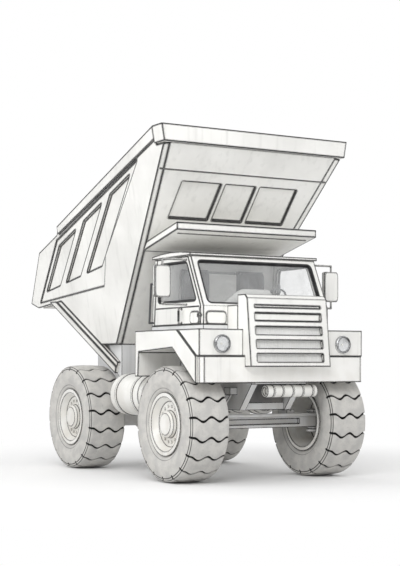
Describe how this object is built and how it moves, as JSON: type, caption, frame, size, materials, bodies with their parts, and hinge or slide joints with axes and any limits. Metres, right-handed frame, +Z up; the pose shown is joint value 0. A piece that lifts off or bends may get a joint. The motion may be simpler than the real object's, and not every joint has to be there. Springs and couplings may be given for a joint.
{
  "type": "mining dump truck",
  "caption": "Rigid off-highway dump truck with a tilting bed, canopy over a full-width cab, steered front wheels and wide lugged tyres.",
  "frame": {"origin": "on the ground at the middle of the truck's length and width", "axes": "+X forward, +Y to the truck's left, +Z up"},
  "size_m": [7.195, 3.633, 5.7328],
  "materials": {
    "paint": "off-white machine paint, dusty, worn at edges",
    "frame": "grey chassis paint with dust",
    "steel": "bare ground steel",
    "dark": "dark matte",
    "engine": "dark cast iron",
    "glass": "clear cab glass",
    "lens": "clear headlamp glass",
    "cushion": "dark seat vinyl",
    "tyre": "dusty black rubber",
    "rim": "off-white wheel paint, dusty",
    "mirror_case": "off-white mirror housings, silvered behind"
  },
  "bodies": {
    "chassis": {"frame_rails": "frame", "cross_members": "frame", "front_axle": "frame", "front_struts": "frame", "rear_axle": "frame", "rear_struts": "steel", "engine": "engine", "bumper": "paint", "air_receiver": "steel", "tanks": "paint", "rear_hitch": "frame", "radiator_shell": "paint", "radiator_core": "dark", "bonnet": "paint", "fenders": "paint", "headlamp_bezels": "steel", "headlamp_lenses": "lens", "cab_floor": "frame", "cab_front": "paint", "cab_back": "paint", "cab_roof": "paint", "cab_glass": "glass", "dashboard": "dark", "steering_wheel": "dark", "seat_frames": "frame", "seat_cushions": "cushion", "grab_rails": "frame"},
    "door_right": {"door_right": "paint", "door_glass_right": "glass", "mirror_right": "mirror_case"},
    "door_left": {"door_left": "paint", "door_glass_left": "glass", "mirror_left": "mirror_case"},
    "bed": {"bed_floor": "paint", "bed_sides": "paint", "bed_front_wall": "paint", "bed_canopy": "paint", "bed_beams": "frame"},
    "hoist_barrel_right": {"hoist_barrel_right": "frame"},
    "hoist_barrel_left": {"hoist_barrel_left": "frame"},
    "hoist_rod_right": {"hoist_rod_right": "steel"},
    "hoist_rod_left": {"hoist_rod_left": "steel"},
    "knuckle_right": {"knuckle_right": "frame"},
    "knuckle_left": {"knuckle_left": "frame"},
    "tie_rod": {"tie_rod": "frame"},
    "wheel_front_right": {"rim_front_right": "rim", "tyre_front_right": "tyre"},
    "wheel_front_left": {"rim_front_left": "rim", "tyre_front_left": "tyre"},
    "wheel_rear_right": {"rim_rear_right": "rim", "tyre_rear_right": "tyre"},
    "wheel_rear_left": {"rim_rear_left": "rim", "tyre_rear_left": "tyre"}
  },
  "joints": [
    {"name": "bed_tilt", "type": "hinge", "parent": "chassis", "child": "bed", "pos_m": [-2.1525, 0, 2.2495], "axis": [0, -1, 0], "range_deg": [0, 50]},
    {"name": "hoist_swing_right", "type": "hinge", "parent": "chassis", "child": "hoist_barrel_right", "pos_m": [-0.2625, -0.64, 1.0495], "axis": [0, -1, 0], "range_deg": [-3, 1]},
    {"name": "hoist_slide_right", "type": "slide", "parent": "hoist_barrel_right", "child": "hoist_rod_right", "axis": [-0.6936, 0, 0.7203], "range_m": [0, 0.52]},
    {"name": "hoist_swing_left", "type": "hinge", "parent": "chassis", "child": "hoist_barrel_left", "pos_m": [-0.2625, 0.64, 1.0495], "axis": [0, -1, 0], "range_deg": [-3, 1]},
    {"name": "hoist_slide_left", "type": "slide", "parent": "hoist_barrel_left", "child": "hoist_rod_left", "axis": [-0.6936, 0, 0.7203], "range_m": [0, 0.52]},
    {"name": "steer_right", "type": "hinge", "parent": "chassis", "child": "knuckle_right", "pos_m": [2.4375, -1.235, 0.9375], "axis": [0, 0, 1], "range_deg": [-30, 30]},
    {"name": "steer_left", "type": "hinge", "parent": "chassis", "child": "knuckle_left", "pos_m": [2.4375, 1.235, 0.9375], "axis": [0, 0, 1], "range_deg": [-30, 30]},
    {"name": "tie_rod_turn", "type": "hinge", "parent": "knuckle_right", "child": "tie_rod", "pos_m": [2.6275, -1.235, 1.0375], "axis": [0, 0, 1], "range_deg": [-30, 30]},
    {"name": "roll_front_right", "type": "hinge", "parent": "knuckle_right", "child": "wheel_front_right", "pos_m": [2.4375, -1.335, 0.9375], "axis": [0, 1, 0], "continuous": true},
    {"name": "roll_front_left", "type": "hinge", "parent": "knuckle_left", "child": "wheel_front_left", "pos_m": [2.4375, 1.335, 0.9375], "axis": [0, 1, 0], "continuous": true},
    {"name": "roll_rear_right", "type": "hinge", "parent": "chassis", "child": "wheel_rear_right", "pos_m": [-1.1025, -1.335, 0.9375], "axis": [0, 1, 0], "continuous": true},
    {"name": "roll_rear_left", "type": "hinge", "parent": "chassis", "child": "wheel_rear_left", "pos_m": [-1.1025, 1.335, 0.9375], "axis": [0, 1, 0], "continuous": true},
    {"name": "door_swing_right", "type": "hinge", "parent": "chassis", "child": "door_right", "pos_m": [2.8045, -1.223, 2.8], "axis": [0, 0, 1], "range_deg": [0, 68]},
    {"name": "door_swing_left", "type": "hinge", "parent": "chassis", "child": "door_left", "pos_m": [2.8045, 1.223, 2.8], "axis": [0, 0, -1], "range_deg": [0, 68]}
  ],
  "couplings": [
    {"joint": "hoist_swing_right", "follows": "bed_tilt", "ratio": -0.0402},
    {"joint": "hoist_slide_right", "follows": "bed_tilt", "m_per_rad": 0.58339},
    {"joint": "hoist_swing_left", "follows": "bed_tilt", "ratio": -0.0402},
    {"joint": "hoist_slide_left", "follows": "bed_tilt", "m_per_rad": 0.58339},
    {"joint": "steer_left", "follows": "steer_right", "ratio": 1},
    {"joint": "tie_rod_turn", "follows": "steer_right", "ratio": -1}
  ]
}
